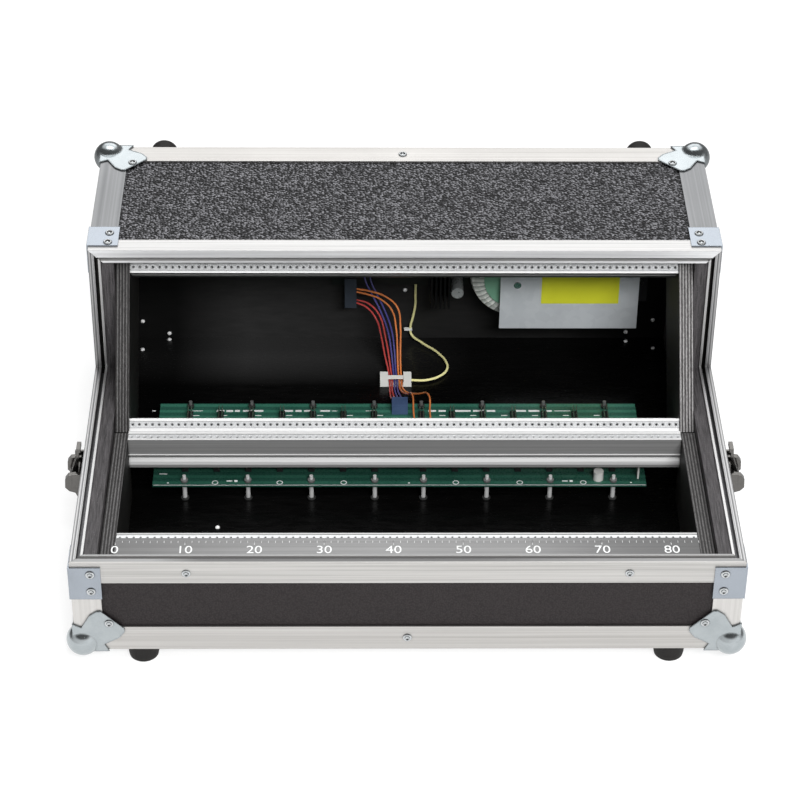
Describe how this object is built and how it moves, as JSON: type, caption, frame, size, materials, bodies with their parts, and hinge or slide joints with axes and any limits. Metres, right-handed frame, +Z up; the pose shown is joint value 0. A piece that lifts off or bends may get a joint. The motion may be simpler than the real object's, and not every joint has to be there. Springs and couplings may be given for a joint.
{
  "type": "modular synthesizer case",
  "caption": "Open portable case for synthesizer modules: a level and a tilted row of rails over bus boards, a mains supply, aluminium edges, ball corners and draw latches.",
  "frame": {"origin": "on the floor under the feet, at the middle of the whole case with its corners and feet", "axes": "+Z up, front of the case towards -Y, +X to the right seen from the front"},
  "size_m": [0.52, 0.4178, 0.2139],
  "materials": {
    "laminate": "pebbled",
    "black_wood": "matte",
    "plywood": "raw",
    "rail_aluminium": "satin",
    "steel": "satin",
    "edge_aluminium": "brushed",
    "zinc": "satin",
    "rubber": "matte",
    "dark_strip": "matte",
    "yellow_sheet": "satin",
    "winding": "satin",
    "green_sheet": "matte",
    "circuit_board": "gloss",
    "black_aluminium": "anodised",
    "capacitor": "satin",
    "black_plastic": "satin",
    "blue_plastic": "satin",
    "white_plastic": "satin",
    "wire_red": "satin",
    "wire_blue": "satin",
    "wire_orange": "satin",
    "wire_yellow": "satin"
  },
  "bodies": {
    "case": {"bottom_panel": "laminate", "front_panel": "laminate", "back_panel": "laminate", "top_panel": "laminate", "left_panel": "laminate", "right_panel": "laminate", "left_liner": "black_wood", "right_liner": "black_wood", "left_cheek_low": "plywood", "right_cheek_low": "plywood", "left_cheek_up": "plywood", "right_cheek_up": "plywood", "rail_top": "rail_aluminium", "rail_mid_up": "rail_aluminium", "rail_mid_low": "rail_aluminium", "rail_front": "rail_aluminium", "thread_strips": "steel", "front_strip": "dark_strip", "rail_screws": "steel", "edges_long": "edge_aluminium", "edges_top_side": "edge_aluminium", "edges_front_side": "edge_aluminium", "edges_back_side": "edge_aluminium", "edges_bottom_side": "edge_aluminium", "lip_top": "edge_aluminium", "lip_front": "edge_aluminium", "lip_left": "edge_aluminium", "lip_right": "edge_aluminium", "ball_corners": "zinc", "braces": "zinc", "rivets": "zinc", "feet_bottom": "rubber", "feet_back": "rubber", "latch_base_left": "zinc", "latch_base_right": "zinc", "supply_cover": "zinc", "cover_sticker": "yellow_sheet", "transformer": "winding", "transformer_disc": "green_sheet", "supply_bolts": "steel", "supply_board": "circuit_board", "supply_heatsink": "black_aluminium", "supply_capacitors": "capacitor", "supply_plug": "black_plastic", "bus_board_low": "circuit_board", "bus_board_up": "circuit_board", "bus_headers": "black_plastic", "bus_terminals": "blue_plastic", "board_spacers": "steel", "wire_red": "wire_red", "wire_blue": "wire_blue", "wire_orange": "wire_orange", "wire_yellow": "wire_yellow", "tie_mount": "white_plastic", "mains_inlet": "black_plastic"},
    "lever_left": {"latch_lever_left": "zinc"},
    "lever_right": {"latch_lever_right": "zinc"},
    "hook_left": {"latch_hook_left": "zinc"},
    "hook_right": {"latch_hook_right": "zinc"},
    "rocker": {"mains_rocker": "black_plastic"}
  },
  "joints": [
    {"name": "lever_right_swing", "type": "hinge", "parent": "case", "child": "lever_right", "pos_m": [0.25, -0.06005, 0.073], "axis": [0, -1, 0], "range_deg": [0, 90]},
    {"name": "lever_left_swing", "type": "hinge", "parent": "case", "child": "lever_left", "pos_m": [-0.25, -0.06005, 0.073], "axis": [0, 1, 0], "range_deg": [0, 90]},
    {"name": "hook_right_swing", "type": "hinge", "parent": "lever_right", "child": "hook_right", "pos_m": [0.255, -0.06005, 0.068], "axis": [0, -1, 0], "range_deg": [-90, 0]},
    {"name": "hook_left_swing", "type": "hinge", "parent": "lever_left", "child": "hook_left", "pos_m": [-0.255, -0.06005, 0.068], "axis": [0, 1, 0], "range_deg": [-90, 0]},
    {"name": "mains_switch", "type": "hinge", "parent": "case", "child": "rocker", "pos_m": [0.164, 0.18445, 0.1047], "axis": [1, 0, 0], "range_deg": [-16, 0]}
  ],
  "couplings": [
    {"joint": "hook_right_swing", "follows": "lever_right_swing", "ratio": -1},
    {"joint": "hook_left_swing", "follows": "lever_left_swing", "ratio": -1}
  ]
}
